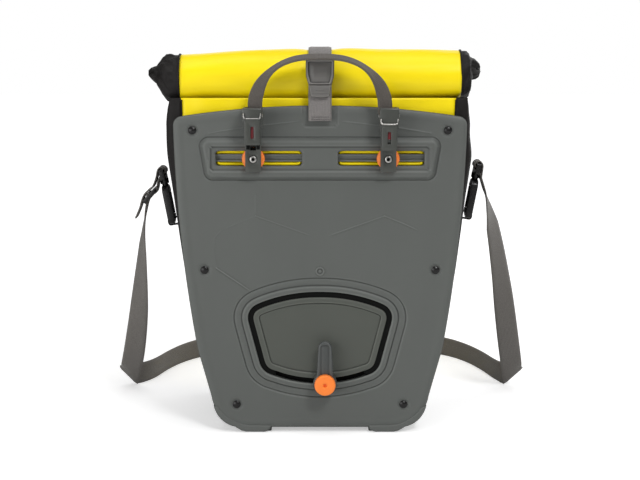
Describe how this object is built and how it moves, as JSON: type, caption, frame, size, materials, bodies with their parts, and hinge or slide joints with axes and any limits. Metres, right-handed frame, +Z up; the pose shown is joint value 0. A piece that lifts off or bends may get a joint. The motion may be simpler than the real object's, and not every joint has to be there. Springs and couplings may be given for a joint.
{
  "type": "pannier bag",
  "caption": "Roll-top bicycle pannier with carrier plate, sliding latching rack hooks, swivelling lower hook, lift handle, strap buckle and detachable shoulder strap.",
  "frame": {"origin": "on the ground under the middle of the bag, without its shoulder strap", "axes": "+Z up, -Y towards the bicycle (the side with the carrier plate and hooks), +X to the right of someone who faces the plate"},
  "size_m": [0.4698, 0.4364, 0.4084],
  "materials": {
    "plate": "fine moulded grain",
    "island": "fine moulded grain",
    "tray": "fine moulded grain",
    "rail": "satin anodised",
    "rivet": "satin",
    "shell_fabric": "coated, slightly glossy",
    "gusset_fabric": "coated, matt",
    "hard_plastic": "satin",
    "closure_webbing": "woven webbing",
    "strap_webbing": "woven webbing",
    "handle_webbing": "woven webbing",
    "buckle": "satin",
    "reflective_film": "retroreflective film",
    "steel": "zinc plated",
    "hook_plastic": "fine moulded grain",
    "orange_plastic": "satin",
    "red_plastic": "satin"
  },
  "bodies": {
    "bag": {"back_plate": "plate", "track_island": "island", "hook_rail": "rail", "rivets_top": "rivet", "rivets_middle": "rivet", "rivets_bottom": "rivet", "base_tray": "tray", "rear_panel": "shell_fabric", "front_panel": "shell_fabric", "base_panel": "shell_fabric", "side_gusset_left": "gusset_fabric", "side_gusset_right": "gusset_fabric", "roll_top": "shell_fabric", "roll_stiffener": "hard_plastic", "roll_end_left": "gusset_fabric", "roll_end_right": "gusset_fabric", "closure_strap": "closure_webbing", "buckle_frame": "buckle", "front_patch": "gusset_fabric", "reflector": "reflective_film", "strap_adjuster": "hard_plastic", "shoulder_strap_left": "strap_webbing", "shoulder_strap_floor": "strap_webbing", "shoulder_strap_right": "strap_webbing", "side_loop_left": "strap_webbing", "strap_eye_left": "hard_plastic", "side_loop_right": "strap_webbing", "strap_eye_right": "hard_plastic"},
    "hook_left": {"hook_body_left": "hook_plastic", "hook_insert_left": "red_plastic", "clamp_screw_left": "steel", "clamp_nut_left": "steel", "latch_pin_left": "steel"},
    "wheel_left": {"clamp_wheel_left": "orange_plastic"},
    "cover_left": {"jaw_slider_left": "hook_plastic"},
    "latch_left": {"latch_left": "hook_plastic"},
    "lift_left": {"lift_bar_left": "steel", "handle_tab_left": "handle_webbing"},
    "handle_left": {"handle_half_left": "handle_webbing"},
    "snap_left": {"snap_body_left": "hard_plastic"},
    "gate_left": {"snap_gate_left": "hard_plastic"},
    "hook_right": {"hook_body_right": "hook_plastic", "hook_insert_right": "red_plastic", "clamp_screw_right": "steel", "clamp_nut_right": "steel", "latch_pin_right": "steel"},
    "wheel_right": {"clamp_wheel_right": "orange_plastic"},
    "cover_right": {"jaw_slider_right": "hook_plastic"},
    "latch_right": {"latch_right": "hook_plastic"},
    "lift_right": {"lift_bar_right": "steel", "handle_tab_right": "handle_webbing"},
    "handle_right": {"handle_half_right": "handle_webbing"},
    "snap_right": {"snap_body_right": "hard_plastic"},
    "gate_right": {"snap_gate_right": "hard_plastic"},
    "track_carriage": {"lower_hook_screw": "steel"},
    "lower_hook": {"lower_hook_arm": "hook_plastic", "lower_hook_pad": "hook_plastic"},
    "lower_knob": {"lower_hook_knob": "orange_plastic"},
    "buckle_lever": {"buckle_lever": "buckle"}
  },
  "joints": [
    {"name": "hook_slide_left", "type": "slide", "parent": "bag", "child": "hook_left", "axis": [1, 0, 0], "range_m": [-0.034, 0.04]},
    {"name": "wheel_turn_left", "type": "hinge", "parent": "hook_left", "child": "wheel_left", "pos_m": [-0.069, -0.084, 0.2944], "axis": [0, 1, 0], "continuous": true},
    {"name": "cover_slide_left", "type": "slide", "parent": "hook_left", "child": "cover_left", "axis": [0, 0, 1], "range_m": [-0.004, 0.0005]},
    {"name": "lift_left", "type": "slide", "parent": "hook_left", "child": "lift_left", "axis": [0, 0, 1], "range_m": [0, 0.005], "stiffness_N_per_m": 900, "springref_m": -0.003},
    {"name": "latch_swing_left", "type": "hinge", "parent": "hook_left", "child": "latch_left", "pos_m": [-0.069, -0.0864, 0.317], "axis": [1, 0, 0], "range_deg": [0, 75]},
    {"name": "handle_shift_left", "type": "slide", "parent": "lift_left", "child": "handle_left", "axis": [1, 0, 0], "range_m": [-0.0401, 0.0341]},
    {"name": "hook_slide_right", "type": "slide", "parent": "bag", "child": "hook_right", "axis": [1, 0, 0], "range_m": [-0.04, 0.033]},
    {"name": "wheel_turn_right", "type": "hinge", "parent": "hook_right", "child": "wheel_right", "pos_m": [0.0706, -0.084, 0.2944], "axis": [0, 1, 0], "continuous": true},
    {"name": "cover_slide_right", "type": "slide", "parent": "hook_right", "child": "cover_right", "axis": [0, 0, 1], "range_m": [-0.002, 0.006]},
    {"name": "lift_right", "type": "slide", "parent": "hook_right", "child": "lift_right", "axis": [0, 0, 1], "range_m": [0, 0.005]},
    {"name": "latch_swing_right", "type": "hinge", "parent": "hook_right", "child": "latch_right", "pos_m": [0.0706, -0.0864, 0.317], "axis": [1, 0, 0], "range_deg": [0, 75]},
    {"name": "handle_shift_right", "type": "slide", "parent": "lift_right", "child": "handle_right", "axis": [1, 0, 0], "range_m": [-0.0331, 0.0401]},
    {"name": "track_travel", "type": "hinge", "parent": "bag", "child": "track_carriage", "pos_m": [0, -0.078, 0.1885], "axis": [0, 1, 0], "range_deg": [-15.5, 20]},
    {"name": "lower_hook_turn", "type": "hinge", "parent": "track_carriage", "child": "lower_hook", "pos_m": [0.0053, -0.091, 0.05661], "axis": [0, 1, 0], "continuous": true},
    {"name": "knob_turn", "type": "hinge", "parent": "track_carriage", "child": "lower_knob", "pos_m": [0.0053, -0.096, 0.05661], "axis": [0, 1, 0], "continuous": true},
    {"name": "buckle_swing", "type": "hinge", "parent": "bag", "child": "buckle_lever", "pos_m": [0, -0.0846, 0.3738], "axis": [1, 0, 0], "range_deg": [-60, 0]},
    {"name": "snap_swivel_left", "type": "hinge", "parent": "bag", "child": "snap_left", "pos_m": [-0.16988, -0.003, 0.26073], "axis": [-0.1822, 0, 0.9833], "range_deg": [-12, 12]},
    {"name": "gate_swing_left", "type": "hinge", "parent": "snap_left", "child": "gate_left", "pos_m": [-0.16761, 0.0062, 0.24844], "axis": [0.9833, 0, 0.1822], "range_deg": [-22, 0], "stiffness_Nm_per_rad": 0.02, "springref_deg": 17.19},
    {"name": "snap_swivel_right", "type": "hinge", "parent": "bag", "child": "snap_right", "pos_m": [0.16988, -0.003, 0.26723], "axis": [0.1822, 0, 0.9833], "range_deg": [-12, 12]},
    {"name": "gate_swing_right", "type": "hinge", "parent": "snap_right", "child": "gate_right", "pos_m": [0.16761, 0.0062, 0.25494], "axis": [0.9833, 0, -0.1822], "range_deg": [-22, 0], "stiffness_Nm_per_rad": 0.02, "springref_deg": 17.19}
  ],
  "couplings": [
    {"joint": "lift_right", "follows": "lift_left", "ratio": 1},
    {"joint": "latch_swing_left", "follows": "lift_left", "rad_per_m": 261.8},
    {"joint": "latch_swing_right", "follows": "lift_left", "rad_per_m": 261.8},
    {"joint": "handle_shift_left", "follows": "hook_slide_left", "ratio": -1},
    {"joint": "handle_shift_right", "follows": "hook_slide_right", "ratio": -1}
  ]
}
